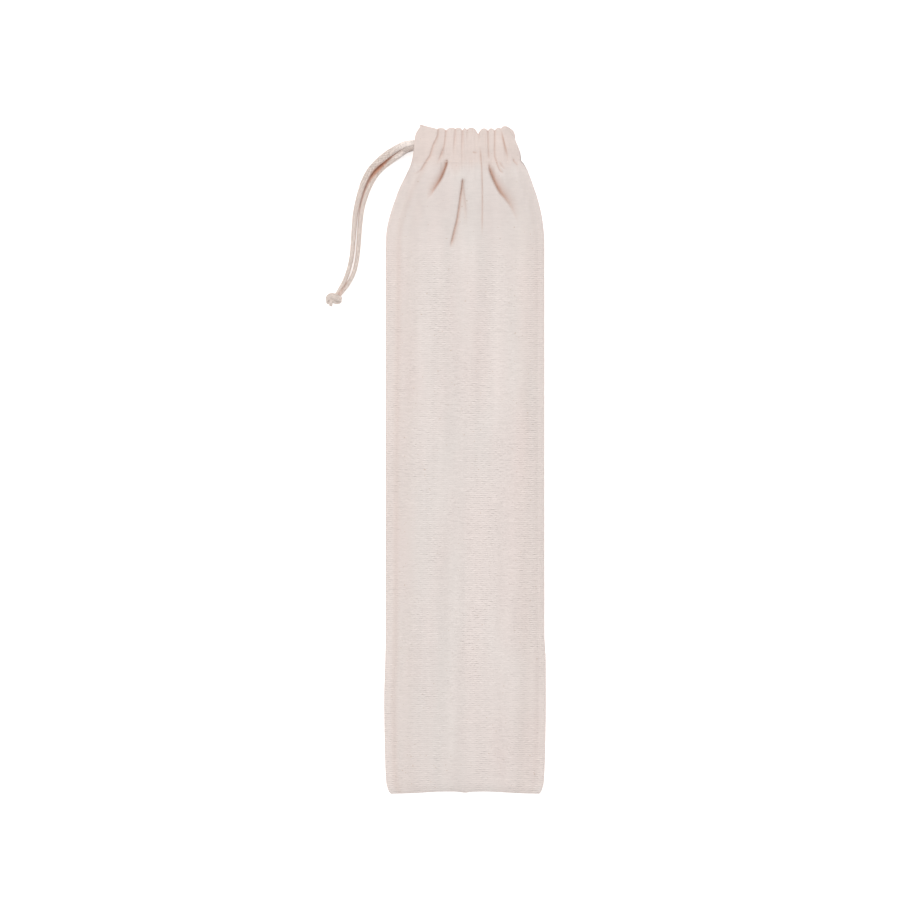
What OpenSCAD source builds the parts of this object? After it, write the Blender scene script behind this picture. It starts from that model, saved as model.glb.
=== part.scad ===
// Drawstring pouch of plain cotton cloth, lying on its back.
// +Y runs from the closed bottom to the gathered neck, +X to the right and +Z up.
// The origin is the centre of the pouch's base on the surface it lies on. Millimetres.

/* [Pouch] */
// Length from the closed bottom to the highest corner of the neck
pouch_length = 272; // [240:1:300]
// Width of the flat body
pouch_width = 64.8; // [60:0.2:72]
// Extra width near the bottom, where the body is a little wider
bottom_flare = 1.2; // [0:0.1:2]
// Height of the body at its middle
body_height = 9; // [8.8:0.1:10]
// Thickness of the cloth
cloth = 0.6; // [0.5:0.05:0.7]
// Width of the rounded edge along both sides
edge_roll = 8; // [6:0.5:9]
// Length of the rounded edge at the closed bottom
bottom_roll = 10; // [8:0.5:12]
// Radius of the two bottom corners
corner_radius = 2; // [1:0.5:4]

/* [Neck] */
// Width of the gathered neck
neck_width = 43; // [42:0.5:46]
// Length of the casing along the pouch
casing_length = 14.2; // [14:0.1:15]
// How far the left end of the casing stands above the gathered edge
tab_rise = 1.8; // [1:0.1:3]
// Length of the shoulders, where the body narrows to the neck
shoulder_length = 31; // [28:1:36]
// Open gap between the front and back casings
mouth_gap = 4.8; // [4.6:0.1:5.2]
// Width of the flat, ungathered end of the casing on each side
casing_end_width = 6.5; // [6:0.1:7]

/* [Seams] */
// Width of the seam allowance inside the left edge
left_allowance = 3.6; // [3:0.1:4]
// Width of the seam allowance inside the right edge
right_allowance = 2.8; // [2:0.1:4]
// Length of one stitch
stitch_length = 2.2; // [1.8:0.1:2.6]
// Distance from one stitch to the next
stitch_pitch = 3.2; // [3:0.1:4]

/* [Cord] */
// Diameter of the drawstring
cord_d = 2.5; // [2.2:0.1:2.6]

/* [Hidden] */

cotton = [0.87, 0.82, 0.78];
cotton_double = [0.86, 0.79, 0.74];
thread_white = [0.93, 0.9, 0.86];
cord_cotton = [0.86, 0.79, 0.74];

y_bottom = -pouch_length / 2;
y_top = pouch_length / 2;
y_edge = y_top - tab_rise;              // gathered top edge of the casing
y_casing = y_edge - casing_length;      // where the casing meets the panels
part_gap = 0.3;                         // room between cloth that moves and cloth that stays
y_panel_end = y_casing - part_gap;
y_shoulder = y_casing - shoulder_length;

cord_room = 0.2;                        // space around the cord in its channel
casing_wall = 0.45;
casing_height = cord_d + 2 * cord_room + 2 * casing_wall;
z_front_casing = casing_height + mouth_gap;
neck_height = z_front_casing + casing_height;
z_back_cord = casing_height / 2;
z_front_cord = z_front_casing + casing_height / 2;

x_neck = neck_width / 2;
x_middle = x_neck - casing_end_width;   // half the width of the gathered middle
end_gap = 0.3;
end_drop = 0.1;                         // the ends are this much thinner than the middle

channel_low = y_casing + 4.4;           // the cord's channel across the casing
channel_high = y_casing + 10.4;
y_front_cord = y_casing + 8.4;
y_back_cord = y_casing + 6.4;
turn_x = x_middle - 0.2;                // where the cord starts to turn back at the right end

allowance_thick = 0.8;
allowance_inset = 1.1;
stitch_width = 0.5;
stitch_height = 0.3;

// Route of the tail from the front casing: out of the casing, down to the surface, round to the knot
outer_route = [
    [-21.5, y_front_cord, z_front_cord], [-24.5, 127.9, 9.9], [-27.6, 126.4, 8.3],
    [-31.0, 124.3, 6.1], [-34.6, 121.5, 3.9], [-38.0, 118.0, 2.2], [-40.6, 113.8, 1.5],
    [-42.3, 109.2, 1.3], [-43.6, 104.4, 1.3], [-44.6, 99.4, 1.3], [-45.1, 94.0, 1.3],
    [-45.5, 88.6, 1.3], [-46.0, 83.0, 1.3], [-47.1, 77.6, 1.4], [-48.9, 72.6, 1.7],
    [-50.6, 69.4, 2.2], [-52.0, 66.9, 2.6]
];
// Route of the tail from the back casing, beside the first one
inner_route = [
    [-21.5, y_back_cord, z_back_cord], [-24.2, 125.5, 1.7], [-27.4, 123.4, 1.4],
    [-31.0, 120.9, 1.3], [-34.4, 118.1, 1.3], [-37.0, 114.8, 1.3], [-39.1, 110.8, 1.3],
    [-40.8, 106.0, 1.3], [-42.0, 101.2, 1.3], [-42.6, 96.2, 1.3], [-43.0, 91.0, 1.3],
    [-43.4, 85.8, 1.3], [-44.0, 80.8, 1.3], [-45.2, 75.9, 1.4], [-47.2, 71.8, 1.7],
    [-49.4, 68.8, 2.2], [-51.4, 66.4, 2.6]
];
knot_centre = [-53.4, 65.0, 2.7];
knot_heading = 215;                     // the way the tails run into the knot, from +X
knot_ring = 1.4;

// 0 below a, 1 above b and a smooth rise between them
function ease(v, a, b) =
    let (t = min(1, max(0, (v - a) / (b - a)))) t * t * (3 - 2 * t);

// A quarter circle's rise from 0 to 1 as d goes from 0 to r
function arc_rise(d, r) =
    d >= r ? 1 : sqrt(max(0, 1 - pow(1 - d / r, 2)));

// Half the width of the pouch at y
function half_width(y) =
    let (
        body = pouch_width / 2 + bottom_flare / 2 * (1 - ease(y, -95, -65)),
        neck = (pouch_width / 2 - x_neck) * (1 - sin(90 * min(1, max(0, (y_casing - y) / shoulder_length)))),
        corner = corner_radius * (1 - arc_rise(y - y_bottom, corner_radius))
    )
    body - neck - corner;

// Height of the front panel's outside at y, without the rounded bottom
function crown(y) = body_height + (neck_height - body_height) * ease(y, y_shoulder + 4, y_panel_end);

// Distances from the bottom edge, close together where the outline bends
function stations() = concat(
    [for (d = [0, 0.4, 1, 1.6, 2.4, 3.6, 5, 7, 10, 20, 38, 54, 70, 90, 115, 140, 165, 190, 212]) y_bottom + d],
    [for (i = [0:11]) y_shoulder + i * (y_panel_end - y_shoulder) / 11]
);

roll_steps = 6;
top_steps = 8;

// One cross-section of the front panel: inset 0 is its outside, inset cloth its inside
function section(y, inset) =
    let (
        w = half_width(y) - inset,
        r = edge_roll - inset,
        end_rise = arc_rise(y - y_bottom, bottom_roll),
        h = (crown(y) - cloth - inset) * end_rise,
        yi = y + inset * max(0, 1 - (y - y_bottom) / bottom_roll)
    )
    concat(
        [for (i = [0:roll_steps]) let (a = 90 * i / roll_steps)
            [-w + r * (1 - cos(a)), yi, cloth + h * sin(a)]],
        [for (i = [1:top_steps - 1]) [(w - r) * (2 * i / top_steps - 1), yi, cloth + h]],
        [for (i = [roll_steps:-1:0]) let (a = 90 * i / roll_steps)
            [w - r * (1 - cos(a)), yi, cloth + h * sin(a)]]
    );

// Closed shell between an outer and an inner grid of the same rows and columns
module shell_between(outer, inner) {
    rows = len(outer);
    cols = len(outer[0]);
    half = rows * cols;
    function at(side, r, c) = side * half + r * cols + c;
    skins = [for (r = [0:rows - 2], c = [0:cols - 2]) each [
        [at(0, r, c), at(0, r + 1, c), at(0, r + 1, c + 1)],
        [at(0, r, c), at(0, r + 1, c + 1), at(0, r, c + 1)],
        [at(1, r, c), at(1, r + 1, c + 1), at(1, r + 1, c)],
        [at(1, r, c), at(1, r, c + 1), at(1, r + 1, c + 1)]
    ]];
    side_rims = [for (r = [0:rows - 2]) each [
        [at(0, r, 0), at(1, r, 0), at(1, r + 1, 0)],
        [at(0, r, 0), at(1, r + 1, 0), at(0, r + 1, 0)],
        [at(0, r, cols - 1), at(0, r + 1, cols - 1), at(1, r + 1, cols - 1)],
        [at(0, r, cols - 1), at(1, r + 1, cols - 1), at(1, r, cols - 1)]
    ]];
    end_rims = [for (c = [0:cols - 2]) each [
        [at(0, 0, c), at(0, 0, c + 1), at(1, 0, c + 1)],
        [at(0, 0, c), at(1, 0, c + 1), at(1, 0, c)],
        [at(0, rows - 1, c), at(1, rows - 1, c), at(1, rows - 1, c + 1)],
        [at(0, rows - 1, c), at(1, rows - 1, c + 1), at(0, rows - 1, c + 1)]
    ]];
    polyhedron(
        points = [for (g = [outer, inner], row = g, p = row) p],
        faces = concat(skins, side_rims, end_rims)
    );
}

// Sewn strip that follows one side of the pouch, from near to far inside the edge
module side_strip(side, near, far, thick) {
    ys = [for (y = stations()) if (y > y_bottom + 2 && y < y_panel_end - 1) y];
    linear_extrude(thick)
        polygon(concat(
            [for (y = ys) [side * (half_width(y) - near), y]],
            [for (i = [len(ys) - 1:-1:0]) [side * (half_width(ys[i]) - far), ys[i]]]
        ));
}

// Row of stitches beside one edge, each on top of the seam allowance
module side_stitches(side) {
    first = y_bottom + 5;
    count = floor((y_panel_end - 3 - first) / stitch_pitch);
    inset = allowance_inset + 1;
    for (i = [0:count - 1]) {
        y = first + i * stitch_pitch;
        translate([side * (half_width(y) - inset), y, cloth + allowance_thick + stitch_height / 2])
            cube([stitch_width, stitch_length, stitch_height], center = true);
    }
}

// Row of stitches across the gathered middle of a casing, standing on the height z
module casing_stitches(z) {
    count = floor((2 * x_middle - 2) / stitch_pitch);
    for (i = [0:count - 1])
        translate([(i - (count - 1) / 2) * stitch_pitch, y_casing + 1.4, z + stitch_height / 2])
            cube([stitch_length, stitch_width, stitch_height], center = true);
}

// Flattened tube along X with the cord's channel through it and a rounded top edge
module casing_tube(x0, x1, y1, height) {
    r = height / 2;
    translate([x0, 0, 0])
        rotate([90, 0, 90])
            linear_extrude(x1 - x0)
                difference() {
                    union() {
                        translate([y_casing, 0])
                            square([y1 - r - y_casing, height]);
                        translate([y1 - r, r])
                            circle(r, $fn = 48);
                    }
                    translate([channel_low, casing_wall])
                        square([channel_high - channel_low, casing_height - 2 * casing_wall]);
                }
}

// Round cord swept along a route of points, which starts along start and never runs along up
module swept_cord(route, start, up = [0, 0, 1], sides = 8) {
    last = len(route) - 1;
    function along(i) = let (d = route[min(i + 1, last)] - route[max(i - 1, 0)]) d / norm(d);
    function ring(i) =
        let (
            t = i == 0 ? start : along(i),
            u = cross(up, t) / norm(cross(up, t)),
            v = cross(t, u)
        )
        [for (k = [0:sides - 1]) let (a = 360 * (k + 0.5) / sides)
            route[i] + cord_d / 2 * (cos(a) * u + sin(a) * v)];
    walls = [for (i = [0:last - 1], k = [0:sides - 1]) let (n = (k + 1) % sides) each [
        [i * sides + k, (i + 1) * sides + n, i * sides + n],
        [i * sides + k, (i + 1) * sides + k, (i + 1) * sides + n]
    ]];
    polyhedron(
        points = [for (i = [0:last], p = ring(i)) p],
        faces = concat(
            [[for (k = [0:sides - 1]) k]],
            walls,
            [[for (k = [sides - 1:-1:0]) last * sides + k]]
        )
    );
}

module front_panel() {
    color(cotton)
        shell_between(
            [for (y = stations()) section(y, 0)],
            [for (y = stations()) section(y, cloth)]
        );
}

module back_panel() {
    color(cotton)
        linear_extrude(cloth)
            polygon(concat(
                [for (y = stations()) [half_width(y), y]],
                [for (i = [len(stations()) - 1:-1:0]) [-half_width(stations()[i]), stations()[i]]]
            ));
}

module left_seam_allowance() {
    color(cotton_double)
        translate([0, 0, cloth])
            side_strip(-1, allowance_inset, allowance_inset + left_allowance, allowance_thick);
}

module right_seam_allowance() {
    color(cotton_double)
        translate([0, 0, cloth])
            side_strip(1, allowance_inset, allowance_inset + right_allowance, allowance_thick);
}

module left_side_stitching() {
    color(thread_white)
        side_stitches(-1);
}

module right_side_stitching() {
    color(thread_white)
        side_stitches(1);
}

module front_casing() {
    color(cotton_double)
        translate([0, 0, z_front_casing])
            casing_tube(-x_middle + end_gap, x_middle - end_gap, y_edge, casing_height);
}

module back_casing() {
    color(cotton_double)
        casing_tube(-x_middle + end_gap, x_middle - end_gap, y_edge, casing_height);
}

module front_casing_stitching() {
    color(thread_white)
        casing_stitches(neck_height);
}

module back_casing_stitching() {
    color(thread_white)
        casing_stitches(casing_height);
}

// Flat end of the front casing, where the side seam is left open and the cord comes out
module left_front_casing_end() {
    color(cotton_double)
        translate([0, 0, z_front_casing])
            casing_tube(-x_neck, -x_middle, y_top, casing_height - end_drop);
}

// Flat end of the back casing, under the front one
module left_back_casing_end() {
    color(cotton_double)
        casing_tube(-x_neck, -x_middle, y_top, casing_height - end_drop);
}

// Closed end of both casings on the right, with room for the cord to turn back
module right_casing_end() {
    wall = 0.8;
    mouth_depth = 1.5;
    color(cotton_double)
        difference() {
            translate([x_middle, y_casing, 0])
                cube([casing_end_width + 0.5, casing_length, neck_height - end_drop]);
            translate([x_middle - 1, channel_low, casing_wall])
                cube([casing_end_width + 1.5 - wall, channel_high - channel_low,
                      neck_height - 2 * casing_wall]);
            translate([x_middle - 1, y_casing - 1, casing_height])
                cube([mouth_depth + 1, casing_length + 2, mouth_gap]);
        }
}

// The cord inside the casing: along the front, round the right end and back along the back
module drawstring_loop() {
    front = [turn_x, y_front_cord, z_front_cord];
    back = [turn_x, y_back_cord, z_back_cord];
    centre = (front + back) / 2;
    reach = (front - back) / 2;
    turn = [for (a = [0:15:180]) centre + cos(a) * reach + [norm(reach) * sin(a), 0, 0]];
    route = concat(
        [[-x_neck, front[1], front[2]]],
        turn,
        [[-x_neck, back[1], back[2]]]
    );
    color(cord_cotton)
        swept_cord(route, start = [1, 0, 0], up = cross(reach, [1, 0, 0]));
}

module outer_tail() {
    color(cord_cotton)
        swept_cord(outer_route, start = [-1, 0, 0]);
}

module inner_tail() {
    color(cord_cotton)
        swept_cord(inner_route, start = [-1, 0, 0]);
}

// One overhand knot that ties both tails together
module cord_knot() {
    color(cord_cotton)
        translate(knot_centre)
            rotate([0, 90, knot_heading])
                rotate_extrude($fn = 48)
                    translate([knot_ring, 0])
                        circle(d = cord_d, $fn = 32);
}

// The two cut ends that stick out of the knot
module cord_ends() {
    color(cord_cotton)
        translate(knot_centre)
            for (turn = [-30, 35])
                rotate([0, 90, knot_heading + turn])
                    translate([0, 0, knot_ring + 0.5])
                        cylinder(h = 1.6, d = 1.9, $fn = 24);
}

front_panel();
back_panel();
left_seam_allowance();
right_seam_allowance();
left_side_stitching();
right_side_stitching();
front_casing();
back_casing();
front_casing_stitching();
back_casing_stitching();
left_front_casing_end();
left_back_casing_end();
right_casing_end();
drawstring_loop();
outer_tail();
inner_tail();
cord_knot();
cord_ends();
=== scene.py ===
"""Cotton drawstring pouch, lying flat on its back.
Shapes are worked out in millimetres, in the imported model's frame. A mesh is made in metres."""
import math

import bpy
import numpy as np
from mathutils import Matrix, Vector


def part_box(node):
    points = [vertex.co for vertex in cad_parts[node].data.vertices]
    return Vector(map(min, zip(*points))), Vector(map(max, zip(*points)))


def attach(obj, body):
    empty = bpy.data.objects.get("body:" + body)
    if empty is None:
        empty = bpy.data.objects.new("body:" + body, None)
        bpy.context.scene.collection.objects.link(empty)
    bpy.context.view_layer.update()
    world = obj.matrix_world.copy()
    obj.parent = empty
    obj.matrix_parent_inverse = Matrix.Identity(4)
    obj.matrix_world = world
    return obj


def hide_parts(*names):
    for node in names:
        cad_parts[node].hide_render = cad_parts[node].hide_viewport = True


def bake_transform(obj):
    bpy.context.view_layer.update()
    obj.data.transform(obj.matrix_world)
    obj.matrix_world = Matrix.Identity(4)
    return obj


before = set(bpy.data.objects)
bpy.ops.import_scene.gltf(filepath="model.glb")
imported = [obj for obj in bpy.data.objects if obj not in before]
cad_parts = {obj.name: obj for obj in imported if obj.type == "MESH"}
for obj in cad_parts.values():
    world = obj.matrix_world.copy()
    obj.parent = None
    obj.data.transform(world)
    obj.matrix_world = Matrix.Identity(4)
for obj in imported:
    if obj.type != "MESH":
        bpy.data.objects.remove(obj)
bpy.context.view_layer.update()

MM = 0.001


def cad(node):
    """(lowest corner, highest corner) of a CAD node, in millimetres."""
    low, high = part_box(node)
    return np.array(low) / MM, np.array(high) / MM


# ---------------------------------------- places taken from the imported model

Y_BOTTOM = cad("back_panel")[0][1]
X_BODY = cad("back_panel")[1][0]
Y_CASING = cad("front_casing")[0][1]
Y_TAB = cad("left_front_casing_end")[1][1]
X_LEFT_END = cad("left_front_casing_end")[0][0]
Z_FRONT_LOW, Z_FRONT_HIGH = cad("front_casing")[0][2], cad("front_casing")[1][2]

Y_SHOULDER = Y_CASING - 36  # where the body starts to narrow
Y_RIGHT_TOP = 131.5  # where the casing's right side ends, lower than its left
CLOTH = 0.45  # thickness of one layer of cloth
CORD_D = 2.4
BODY_HEIGHT = 4.1  # the front cloth's height over the middle of the body
SEAM_Z = 0.95  # height of the front cloth at the side seams
HANDS = {"left": -1, "right": 1}


# ---------------------------------------- small maths

def ease(v, a, b):
    """0 up to a, 1 from b on, and smooth between."""
    t = np.clip((v - a) / (b - a), 0, 1)
    return t * t * (3 - 2 * t)


def bell(v, at, width):
    """1 at v = at, and close to 0 from two widths away."""
    return np.exp(-(((v - at) / width) ** 2))


def curve(points):
    """Smooth monotone curve through (at, value) points, as a function of an array."""
    at, value = np.array(points, float).T
    step = np.diff(at)
    slope = np.diff(value) / step
    inner = np.where(
        slope[:-1] * slope[1:] > 0,
        2 * slope[:-1] * slope[1:] / (slope[:-1] + slope[1:] + 1e-12),
        0,
    )
    tangent = np.concatenate([[slope[0]], inner, [slope[-1]]])

    def f(x):
        x = np.clip(x, at[0], at[-1])
        i = np.clip(np.searchsorted(at, x, side="right") - 1, 0, len(at) - 2)
        t = (x - at[i]) / step[i]
        return (
            value[i] * (2 * t**3 - 3 * t**2 + 1)
            + tangent[i] * step[i] * (t**3 - 2 * t**2 + t)
            + value[i + 1] * (3 * t**2 - 2 * t**3)
            + tangent[i + 1] * step[i] * (t**3 - t**2)
        )

    return f


def spline(points, steps):
    """Points of a Catmull-Rom curve through points, steps to each stretch."""
    p = np.array(points, float)
    p = np.vstack([2 * p[0] - p[1], p, 2 * p[-1] - p[-2]])
    t = (np.arange(steps) / steps)[:, None]
    out = [
        0.5 * (
            2 * b + (c - a) * t
            + (2 * a - 5 * b + 4 * c - d) * t**2
            + (3 * b - a - 3 * c + d) * t**3
        )
        for a, b, c, d in zip(p, p[1:], p[2:], p[3:])
    ]
    return np.vstack(out + [p[-2]])


def even(points, spacing):
    """The same line with points an even distance apart."""
    gaps = np.linalg.norm(np.diff(points, axis=0), axis=1)
    run = np.concatenate([[0], np.cumsum(gaps)])
    count = max(2, int(round(run[-1] / spacing)) + 1)
    at = np.linspace(0, run[-1], count)
    return np.column_stack([np.interp(at, run, points[:, k]) for k in range(3)])


# ---------------------------------------- materials

class Nodes:
    """Short calls for building a material's nodes."""

    def __init__(self, name):
        self.material = bpy.data.materials.new(name)
        self.material.use_nodes = True
        self.tree = self.material.node_tree
        self.shader = self.tree.nodes["Principled BSDF"]

    def fill(self, socket, value):
        """Links a node's output to a socket, or sets a plain value on it."""
        if hasattr(value, "is_output"):
            self.tree.links.new(value, socket)
        else:
            socket.default_value = value

    def surface(self, **values):
        """Fills sockets of the material's own shader."""
        for name, value in values.items():
            self.fill(self.shader.inputs[name.replace("_", " ")], value)

    def add(self, kind, inputs, **settings):
        node = self.tree.nodes.new(kind)
        for key, value in settings.items():
            setattr(node, key, value)
        for key, value in inputs.items():
            self.fill(node.inputs[key], value)
        return node

    def math(self, operation, a, b=0.0, c=0.0):
        return self.add("ShaderNodeMath", {0: a, 1: b, 2: c}, operation=operation).outputs[0]

    def around(self, noise, amount):
        """A noise scaled to swing by half of amount each way around 0."""
        return self.math("MULTIPLY_ADD", noise, amount, -amount / 2)

    def place(self, scale=(1, 1, 1), turn=(0, 0, 0)):
        """Object coordinates times scale."""
        coords = self.add("ShaderNodeTexCoord", {}).outputs["Object"]
        return self.add("ShaderNodeMapping", {"Vector": coords, "Scale": scale, "Rotation": turn}).outputs[0]

    def noise(self, vector, scale, detail=2.0, roughness=0.5):
        inputs = {"Vector": vector, "Scale": scale, "Detail": detail, "Roughness": roughness}
        return self.add("ShaderNodeTexNoise", inputs).outputs[0]

    def wave(self, vector, direction, scale, distortion):
        inputs = {"Vector": vector, "Scale": scale, "Distortion": distortion, "Detail Scale": 2.0}
        return self.add("ShaderNodeTexWave", inputs, bands_direction=direction).outputs[1]

    def mix(self, share, a, b, blend="MIX", clamp=True):
        inputs = {0: share, 6: a, 7: b}  # its factor and two colours
        node = self.add("ShaderNodeMix", inputs, data_type="RGBA", blend_type=blend, clamp_factor=clamp)
        return node.outputs[2]

    def toned(self, base, tone):
        """A colour times a grey of the given tone."""
        grey = self.add("ShaderNodeCombineColor", {0: tone, 1: tone, 2: tone}).outputs[0]
        return self.mix(1.0, base, grey, "MULTIPLY")

    def attribute(self, name):
        return self.add("ShaderNodeAttribute", {}, attribute_name=name).outputs["Fac"]

    def bump(self, height, distance, strength):
        inputs = {"Height": height, "Distance": distance, "Strength": strength}
        self.surface(Normal=self.add("ShaderNodeBump", inputs).outputs[0])


def srgb(r, g, b):
    """A colour given as 0 to 255 screen values, as the linear values that sockets take."""
    linear = [c / 255 / 12.92 if c <= 10 else ((c / 255 + 0.055) / 1.055) ** 2.4 for c in (r, g, b)]
    return (*linear, 1.0)


SINGLE = srgb(229, 220, 215)  # one layer of cloth
BLUSH = srgb(230, 217, 212)  # where one layer's tone is a little warmer
DOUBLE = srgb(228, 213, 206)  # two thicknesses of cloth, warmer
FOLD_SHADE = srgb(190, 142, 116)  # painted shade in the bottom of a fold
FLECK = srgb(188, 158, 130)  # bits of cotton seed
CORD_COLOUR = srgb(250, 239, 232)
THREAD_COLOUR = srgb(232, 218, 209)
CORD_SHADE = srgb(184, 165, 153)  # painted shade between the strands of the cord
CONTACT_SHADE = srgb(186, 132, 106)  # painted warm shade where two cords lie against each other
THREADS_PER_M = 2300  # of the weave
RIBS_PER_M = 1230  # coarser ribs that show along the weft
WAVE = 2 * math.pi / 20  # a wave texture's scale for one band per metre


def cotton_cloth():
    """Plain-woven natural cotton: fine threads both ways, ribs and slubs along the weft, a few flecks.
    The cloth's attributes say where it is doubled (layers) and ribbed (ribs), and give the painted shade in and
    beside its folds and along its edges, which is painted light where it is below 0 (crease)."""
    n = Nodes("cotton")
    place = n.place()
    weft = n.wave(place, "Y", WAVE * THREADS_PER_M, 0.6)
    warp = n.wave(place, "X", WAVE * THREADS_PER_M, 0.6)
    rib = n.wave(n.place(turn=(0, 0, 0.02)), "Y", WAVE * RIBS_PER_M, 1.2)
    dash = n.noise(n.place((330, 1150, 330)), 1.0, 1.0)
    patch = n.noise(n.place((120, 45, 120)), 1.0)
    slub = n.noise(n.place((90, 900, 90)), 1.0, 3.0, 0.6)
    streak = n.noise(n.place((260, 16, 200)), 1.0, 3.0, 0.55)
    broad = n.noise(n.place((28, 28, 28)), 1.0)
    speck = n.noise(n.place((1300, 1300, 1300)), 1.0, 0.0)
    blush = n.noise(n.place((75, 22, 75)), 1.0)
    band = n.noise(n.place((150, 11, 150), (0.3, 0, 0)), 1.0)
    broken = n.noise(n.place((760, 1250, 760)), 1.0, 1.0)

    base = n.mix(n.math("MULTIPLY_ADD", blush, 2.2, -0.75), SINGLE, BLUSH)
    base = n.mix(n.attribute("layers_and_yarn_shade"), base, DOUBLE)
    base = n.mix(n.attribute("painted_shade"), base, FOLD_SHADE, clamp=False)  # painted shade in and beside folds and along edges; below 0 it lightens, as painted light
    ribs = n.math("SUBTRACT", rib, 0.5)
    ribs = n.math("MULTIPLY", ribs, n.math("MAXIMUM", n.math("MULTIPLY_ADD", patch, 1.8, -0.2), 0.4))
    ribs = n.math("MULTIPLY", ribs, n.math("MAXIMUM", n.math("MULTIPLY_ADD", broken, 8.0, -3.4), 0.0))
    ribs = n.math("MULTIPLY", ribs, n.attribute("ribs"))
    tone = n.math("MULTIPLY_ADD", ribs, 0.22, 1.0)
    for noise, amount in ((dash, 0.09), (slub, 0.035), (streak, 0.11), (broad, 0.05), (band, 0.11)):
        tone = n.math("ADD", tone, n.around(noise, amount))
    fleck = n.math("MULTIPLY", n.math("SUBTRACT", speck, 0.82), 12.0)
    fleck = n.math("MINIMUM", n.math("MAXIMUM", fleck, 0.0), 0.45)

    height = n.math("MULTIPLY", weft, 0.6)
    for part, amount in ((warp, 0.4), (ribs, 0.8), (slub, 1.0), (streak, 0.5)):
        height = n.math("ADD", height, n.math("MULTIPLY", part, amount))
    n.bump(height, 0.00009, 0.8)
    n.surface(Base_Color=n.mix(fleck, n.toned(base, tone), FLECK))
    n.surface(Roughness=0.92, Sheen_Weight=0.12, Sheen_Roughness=0.5, Specular_IOR_Level=0.2)
    return n.material


def cotton_yarn(name, colour):
    """Soft spun yarn with short fibres. The cord's attributes give the painted shade between its strands
    (layers), and the warm painted shade where it lies close to the other tail (crease)."""
    n = Nodes(name)
    place = n.place()
    fibre = n.noise(place, 2600.0, 3.0, 0.6)
    grain = n.noise(place, 1300.0, 1.0)
    broad = n.noise(place, 160.0)
    tone = n.math("ADD", n.math("MULTIPLY_ADD", fibre, 0.2, 0.87), n.math("MULTIPLY", broad, 0.08))
    tone = n.math("ADD", tone, n.around(grain, 0.7))
    # painted shade between the strands, and warm painted shade where the tails lie together
    base = n.mix(n.attribute("layers_and_yarn_shade"), colour, CORD_SHADE)
    base = n.mix(n.attribute("painted_shade"), base, CONTACT_SHADE)
    n.bump(fibre, 0.00006, 0.7)
    n.surface(Base_Color=n.toned(base, tone))
    n.surface(Roughness=0.9, Sheen_Weight=0.2, Sheen_Roughness=0.5, Specular_IOR_Level=0.2)
    return n.material


def floor_paper():
    n = Nodes("floor_paper")
    grain = n.noise(n.place(), 900.0)
    n.surface(Base_Color=n.mix(n.math("MULTIPLY", grain, 0.02), srgb(252, 252, 252), srgb(244, 244, 244)))
    n.surface(Roughness=0.95, Specular_IOR_Level=0.1, Emission_Color=(1, 1, 1, 1), Emission_Strength=0.4)
    return n.material


CLOTH_MATERIAL = cotton_cloth()
CORD_MATERIAL = cotton_yarn("cotton_cord", CORD_COLOUR)
THREAD_MATERIAL = cotton_yarn("sewing_thread", THREAD_COLOUR)


# ---------------------------------------- making meshes

def new_mesh(name, points, faces, material, attributes=None, normals=None):
    mesh = bpy.data.meshes.new(name)
    mesh.from_pydata((np.array(points) * MM).tolist(), [], faces)
    mesh.materials.append(material)
    for key, values in (attributes or {}).items():
        layer = mesh.attributes.new(key, "FLOAT", "POINT")
        layer.data.foreach_set("value", np.asarray(values, np.float32))
    mesh.polygons.foreach_set("use_smooth", [True] * len(mesh.polygons))
    if normals is not None:
        mesh.normals_split_custom_set_from_vertices(normals.tolist())
    obj = bpy.data.objects.new(name, mesh)
    bpy.context.scene.collection.objects.link(obj)
    return obj


def grid_normals(p):
    """Unit normals of a grid of points, rows by columns."""
    down, across = np.gradient(p, axis=0), np.gradient(p, axis=1)
    n = np.cross(across, down)
    return n / np.maximum(np.linalg.norm(n, axis=2, keepdims=True), 1e-9)


def slab_faces(rows, cols, flip):
    """Faces of a closed slab between two grids of points, one after the other, with its four edges."""
    half = rows * cols
    r, c = np.mgrid[0 : rows - 1, 0 : cols - 1].reshape(2, -1)
    a = r * cols + c
    b, d, e = a + 1, a + cols, a + cols + 1
    edge = np.concatenate([
        np.arange(cols),
        np.arange(1, rows) * cols + cols - 1,
        (rows - 1) * cols + np.arange(cols - 2, -1, -1),
        np.arange(rows - 2, 0, -1) * cols,
    ])
    ahead = np.roll(edge, -1)
    faces = np.vstack([
        np.column_stack([a, b, e, d]),
        np.column_stack([a, d, e, b]) + half,
        np.column_stack([ahead, edge, edge + half, ahead + half]),
    ])
    return (faces[:, ::-1] if flip else faces).tolist()


def sheet_piece(name, outer, inner, outer_n, inner_n, attributes, flip):
    """Closed piece of cloth between two grids."""
    points = np.vstack([outer.reshape(-1, 3), inner.reshape(-1, 3)])
    normals = np.vstack([outer_n.reshape(-1, 3), inner_n.reshape(-1, 3)])
    values = {k: np.tile(v.reshape(-1), 2) for k, v in attributes.items()}
    return new_mesh(name, points, slab_faces(*outer.shape[:2], flip), CLOTH_MATERIAL, values, normals)


def tube_points(path, radius, sides, up=None):
    """(rings of points around a path, directions across it), which turn as little as they can."""
    path = np.array(path, float)
    along = np.gradient(path, axis=0)
    along /= np.linalg.norm(along, axis=1, keepdims=True)
    side = np.zeros_like(path)
    start = np.cross(along[0], [0, 0, 1]) if up is None else np.array(up, float)
    side[0] = start / np.linalg.norm(start)
    for i in range(1, len(path)):
        s = side[i - 1] - along[i] * (side[i - 1] @ along[i])
        side[i] = s / np.linalg.norm(s)
    third = np.cross(along, side)
    radii = np.broadcast_to(radius, len(path))[:, None, None]
    a = np.arange(sides) * 2 * math.pi / sides
    ring = np.cos(a)[None, :, None] * side[:, None] + np.sin(a)[None, :, None] * third[:, None]
    return path[:, None] + radii * ring, side


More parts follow.
